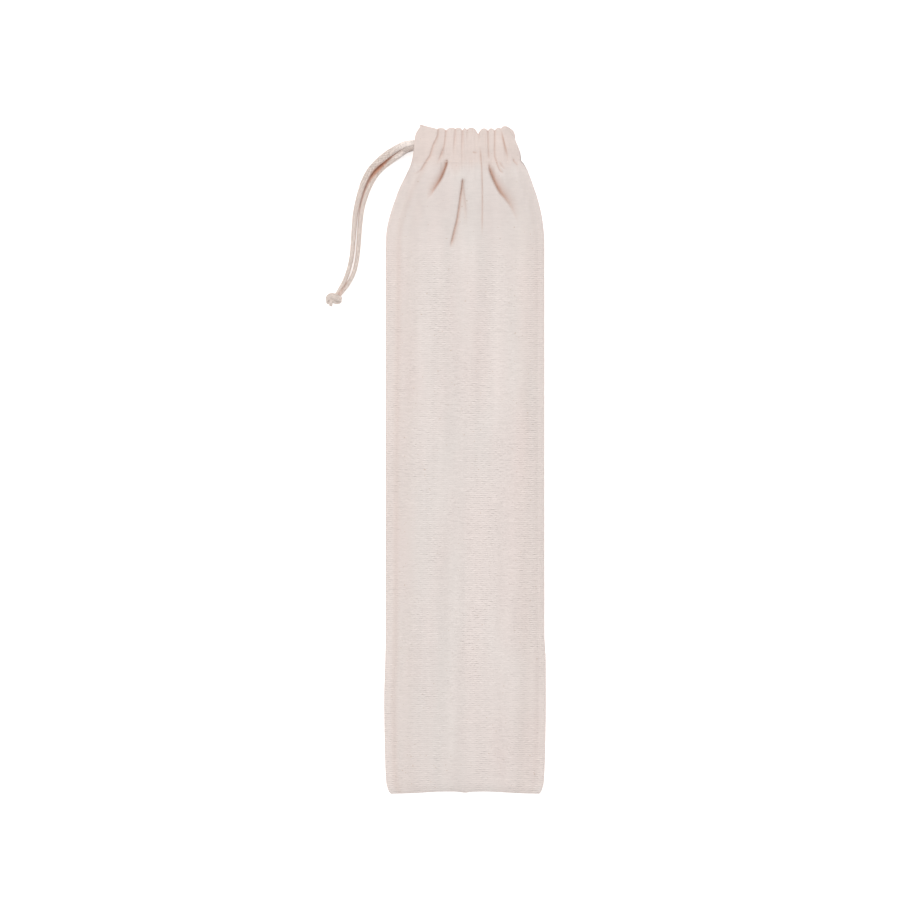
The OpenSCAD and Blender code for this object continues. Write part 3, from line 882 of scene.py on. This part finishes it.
def front_cloth():
    """(points, attributes, the casing's first row) of the front's outside."""
    rows, first, x, y, grid, layers_and_yarn_shade = start_cloth()
    folds, dark = fold_field(x, y)
    for i, (xi, yi, kind, v) in enumerate(rows):
        s_left, s_right, s_bottom = xi - xi[0], xi[-1] - xi, yi - y[0]
        s_side = np.minimum(s_left, s_right)
        s_edge = np.minimum(s_side, s_bottom)
        reach = 13 - 7 * ease(yi, Y_SHOULDER, Y_CASING)
        relief = pleats(xi, yi) * np.clip(s_right / 4, 0, 1) - folds[i] * np.clip(s_right / 2, 0, 1)
        layers_and_yarn_shade[i] = 1
        if kind in (PANEL, OUTSIDE):
            high = neck_top(yi)
            if kind == PANEL:
                high = BODY_HEIGHT + (neck_top(Y_CASING) - BODY_HEIGHT) * ease(yi, Y_SHOULDER, Y_CASING + 1)
            open_end = ease(yi, Y_CASING - 8, Y_CASING + 4)
            left_z = SEAM_Z + (high - SEAM_Z) * open_end
            right_z = SEAM_Z + (Z_SIDE + OUTSIDE_GAP - SEAM_Z) * ease(yi, Y_CASING - 16, Y_CASING + 1)
            z = high - (high - left_z) * (1 - rise(s_left, reach)) - (high - right_z) * (1 - rise(s_right, reach))
            if kind == PANEL:
                z = SEAM_Z + (z - SEAM_Z) * (0.6 * rise(s_bottom, 40) + 0.4 * rise(s_bottom, 4))
                z += wander(xi, yi) * np.clip(s_edge / 6, 0, 1)
            z += relief
            z -= 0.5 * np.exp(-np.minimum(np.minimum(s_right, s_bottom), s_left + 6 * open_end) / 0.4)
            # painted shade along the cloth's edges
            dark[i] += 0.08 * np.exp(-s_edge / 0.3)
            strip = strips(s_left, s_right, yi, 0.6, 0.4) * ease(yi, Y_BOTTOM + 1, Y_BOTTOM + 4) * (kind == PANEL)
            past_left, past_right = s_left - LEFT_STRIP(yi), s_right - RIGHT_STRIP(yi)
            # painted shadow along the inner edge of each turned-in strip, and painted light on the strips
            # themselves
            strip_shadow = 0.11 * bell(past_left, 0.5, 1.3) + 0.045 * bell(past_right, 1.0, 1.0)
            strip_shadow += 0.05 * bell(past_left, 5, 4) + 0.06 * bell(past_right, 5, 4)
            dark[i] = np.maximum(dark[i], strip_shadow * (kind == PANEL) * (1 - open_end)) - 0.06 * strip
            z += 0.26 * strip * ease(s_side, 0.2, 1.2)
            layers_and_yarn_shade[i] = np.maximum(0.62 * strip, doubled(xi, yi))
        elif kind == TURN:
            over = math.sin(v)
            # painted shade on the casing's round top edge, more where folds reach it
            dark[i] = np.maximum(dark[i], 0.05 * over) + 0.3 * np.clip(folds[i] - 0.3, 0, 1) * over
            high = side_end(neck_top(yi) + relief, Z_SIDE + OUTSIDE_GAP, s_right, reach)
            high -= 0.5 * np.exp(-s_right / 0.4)
            low = side_end(Z_FRONT_MID - puff(yi) + 0.5, Z_SIDE + INSIDE_GAP, s_right)
            z = (high + low) / 2 + np.maximum((high - low) / 2, 0.1) * math.cos(v)
        else:
            low = Z_FRONT_MID - puff(yi) + 0.1 - 0.3 * np.minimum(folds[i], 1)
            z = side_end(low, Z_SIDE + INSIDE_GAP, s_right)
        grid[i] = row_points(xi, yi, z, kind, v, s_right)
    return grid, {"layers_and_yarn_shade": layers_and_yarn_shade, "painted_shade": np.clip(dark, -0.06, 1), "ribs": ribs_at(y)}, first


def back_cloth():
    """The same for the back, which lies on the floor."""
    rows, first, x, y, grid, layers_and_yarn_shade = start_cloth()
    folds, dark = fold_field(-x + 0.6, y)
    for i, (xi, yi, kind, v) in enumerate(rows):
        s_left, s_right = xi - xi[0], xi[-1] - xi
        s_edge = np.minimum(np.minimum(s_left, s_right), yi - y[0])
        side_rise = (Z_SIDE - OUTSIDE_GAP) * ease(yi, Y_CASING - 14, Y_CASING + 1) * (1 - rise(s_right, 5))
        high = side_end(2 * puff(yi) - 0.25, Z_SIDE - INSIDE_GAP, s_right)
        layers_and_yarn_shade[i] = 1
        if kind in (PANEL, OUTSIDE):
            z = np.minimum(0.5 * folds[i], 0.22 + 0.5 * (1 - bell(yi, 127.4, 3.6)))
            z = np.maximum(z, 0.36 * bell(yi, Y_CASING + 0.8, 1.3))
            z += side_rise + 0.35 * np.exp(-s_edge / 0.4)
            layers_and_yarn_shade[i] = np.maximum(strips(s_left, s_right, yi) * (kind == PANEL), doubled(xi, yi))
        elif kind == TURN:
            low = side_rise + 0.35 * np.exp(-s_right / 0.4)
            high = np.maximum(high, low + 0.2)
            z = (high + low) / 2 - (high - low) / 2 * math.cos(v)
        else:
            z = high
        grid[i] = row_points(xi, yi, z, kind, v, s_right)
    # the back's folds get a weaker painted shade
    return grid, {"layers_and_yarn_shade": layers_and_yarn_shade, "painted_shade": 0.6 * np.clip(dark, 0, 1), "ribs": ribs_at(y)}, first


# How much narrower than the body each side of the neck is where its share of following its end of the casing
# reaches 1
FULL_SHARE = {-1: 11.5, 1: 10.2}


def gather(piece, side, across=None):
    """Bakes a piece of one half of the neck into its mesh, and works out for each point the share by which it would
    follow that end of the casing: all of it at the neck's edge, none at its middle, and less and less down the
    shoulder, so that the body would stay as it is and the neck drawn open would be as wide as the body. The shares
    are not applied."""
    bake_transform(piece)
    co = np.zeros(len(piece.data.vertices) * 3)
    piece.data.vertices.foreach_get("co", co)
    x, y = co.reshape(-1, 3)[:, 0] / MM, co.reshape(-1, 3)[:, 1] / MM
    y = np.minimum(y, Y_RIGHT_TOP)
    if across is None:
        centre, half = (RIGHT_EDGE(y) + LEFT_EDGE(y)) / 2, (RIGHT_EDGE(y) - LEFT_EDGE(y)) / 2
        across = np.clip(np.abs(x - centre) / half, 0, 1)
    down = np.clip(side * (EDGES[side](Y_SHOULDER) - EDGES[side](y)) / FULL_SHARE[side], 0, 1)


def make_cloth(side_name, cloth, flip):
    """Cuts one cloth into its panel, which stays still, and the left and right halves of shoulder and casing."""
    outer, attributes, first = cloth
    outer_n = grid_normals(outer) * (-1 if flip else 1)
    inner = outer - outer_n * CLOTH
    inner_n = -grid_normals(inner) * (-1 if flip else 1)
    shoulder_row = len(BOTTOM_STEPS) + PANEL_ROWS - 1
    middle = COLUMNS // 2
    left, right = slice(0, middle + 1), slice(middle, COLUMNS)
    below = slice(0, shoulder_row + 1)
    shoulder = slice(shoulder_row, first + 1)
    casing = slice(first, len(outer))
    hem_end = {"left": f"left_{side_name}_casing_end", "right": "right_casing_end"}
    pieces = {}
    for name, rows, cols, side in (
        (f"{side_name}_panel_cloth", below, slice(None), 0),
        (f"{side_name}_shoulder_left", shoulder, left, -1),
        (f"{side_name}_shoulder_right", shoulder, right, 1),
        (f"{side_name}_casing_left", casing, left, -1),
        (f"{side_name}_casing_right", casing, right, 1),
    ):
        values = {k: v[rows, cols] for k, v in attributes.items()}
        piece = sheet_piece(
            name, outer[rows, cols], inner[rows, cols], outer_n[rows, cols], inner_n[rows, cols], values, flip
        )
        if side:
            share = np.abs(2 * np.linspace(0, 1, COLUMNS)[cols] - 1)
            gather(piece, side, np.tile(share, 2 * values["layers_and_yarn_shade"].shape[0]))
        else:
            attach(piece, "bag")
        pieces[name] = piece
    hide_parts(f"{side_name}_panel")
    for hand in HANDS:
        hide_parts(f"{side_name}_casing", hem_end[hand])
    return pieces


FRONT, BACK = front_cloth(), back_cloth()
front_pieces = make_cloth("front", FRONT, False)
back_pieces = make_cloth("back", BACK, True)


# ---------------------------------------- seams and stitching

def on_cloth(cloth, x, y):
    """(point, normal) of the outside of a cloth at x, y."""
    grid, _, first = cloth
    grid = grid[: first + CASING_ROWS - 3]
    i, k = np.unravel_index(((grid[..., 0] - x) ** 2 + (grid[..., 1] - y) ** 2).argmin(), grid.shape[:2])
    i, k = min(max(i, 1), grid.shape[0] - 2), min(max(k, 1), grid.shape[1] - 2)
    down, across = grid[i + 1, k] - grid[i - 1, k], grid[i, k + 1] - grid[i, k - 1]
    normal = np.cross(across, down)
    normal /= np.linalg.norm(normal)
    z = grid[i, k, 2] - (normal[0] * (x - grid[i, k, 0]) + normal[1] * (y - grid[i, k, 1])) / normal[2]
    return np.array([x, y, z]), normal


ALLOWANCE_COLUMNS = 9


def make_allowance(hand):
    """The two raw edges of the cloth inside one side seam, folded in and lying on the back."""
    side = HANDS[hand]
    node = f"{hand}_seam_allowance"
    low, high = cad(node)
    wide = min(high[0] - low[0] - (X_BODY - 1.2 - max(abs(low[0]), abs(high[0]))), 3.8)
    y = np.arange(low[1] + 1.5, high[1] - 0.5, 1.1)[:, None]
    rng = np.random.default_rng(3 + side)
    fray = np.convolve(rng.normal(0, 0.5, len(y) + 4), np.ones(5) / 5, "valid")[:, None]
    across = np.linspace(0, 1, ALLOWANCE_COLUMNS)
    lower = 0.52 + 0.1 * np.sin(y / 5.0) * across
    upper = 0.52 + 0.42 * ease(across, 0.02, 0.3) + 0.12 * across * (1 + np.sin(y / 7.3 + 2))
    parts = []
    for layer, lift in enumerate((lower, upper)):
        inset = 0.9 + across * (wide - 0.25 * layer + 0.4 * fray)
        base = np.stack(np.broadcast_arrays(EDGES[side](y) - side * inset, y, lift), 2).reshape(-1, 3)
        parts.append((np.vstack([base, base + [0, 0, 0.34]]), slab_faces(len(y), ALLOWANCE_COLUMNS, side < 0)))
    points, faces = joined(parts)
    plain = np.zeros(len(points))
    values = {"layers_and_yarn_shade": plain + 1, "painted_shade": plain, "ribs": plain}
    strip = new_mesh(f"{hand}_seam_edges", points, faces, CLOTH_MATERIAL, values)
    gather(strip, side)
    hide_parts(node)


def stitch(start, end, normal, radius=0.13, lift=0.02):
    """(points, faces) of one stitch of thread, sunk at both ends."""
    t = np.linspace(0, 1, 9)
    sunk = np.abs(2 * t - 1) ** 4
    line = start + t[:, None] * (end - start) + normal * (lift - 0.3 * sunk)[:, None]
    return tube_mesh(line, radius * (1 - 0.25 * sunk), 8)


def make_side_stitching(hand):
    """The seam that holds front, back and both edges together, on top of the edges."""
    side = HANDS[hand]
    node = f"{hand}_side_stitching"
    low, high = cad(node)
    parts = []
    for y in np.arange(low[1] + 0.4, high[1] - 1.8, 2.4):
        start, end = (np.array([EDGES[side](v) - side * 2.1, v, 1.33], float) for v in (y, y + 1.9))
        parts.append(stitch(start, end, np.array([0, 0, 1])))
    seam = new_mesh(f"{hand}_seam_thread", *joined(parts), THREAD_MATERIAL)
    gather(seam, side)
    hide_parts(node)


def make_casing_stitching(side_name, cloth):
    """The line of stitches that closes the casing, half of it on each side of the neck."""
    node = f"{side_name}_casing_stitching"
    y = (cad(node)[0][1] + cad(node)[1][1]) / 2 - 0.6
    left, right = LEFT_EDGE(y) + 1.2, RIGHT_EDGE(y) - 1.6
    middle = (LEFT_EDGE(y) + RIGHT_EDGE(y)) / 2
    halves = {hand: [] for hand in HANDS}
    x = left
    while x + 1.5 < right:
        a, normal = on_cloth(cloth, x, y + 0.12 * math.sin(x))
        b, _ = on_cloth(cloth, x + 1.45, y + 0.12 * math.sin(x + 1.45))
        if normal[2] * (1 if side_name == "front" else -1) < 0:
            normal = -normal
        out = normal if side_name == "front" else -normal
        halves["left" if x + 0.7 < middle else "right"].append(stitch(a, b, out, 0.1, -0.04))
        x += 2.05
    for hand, parts in halves.items():
        thread = new_mesh(f"{side_name}_casing_thread_{hand}", *joined(parts), THREAD_MATERIAL)
        gather(thread, HANDS[hand])
        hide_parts(node)


for hand in HANDS:
    make_allowance(hand)
    make_side_stitching(hand)
for side_name, cloth in (("front", FRONT), ("back", BACK)):
    make_casing_stitching(side_name, cloth)
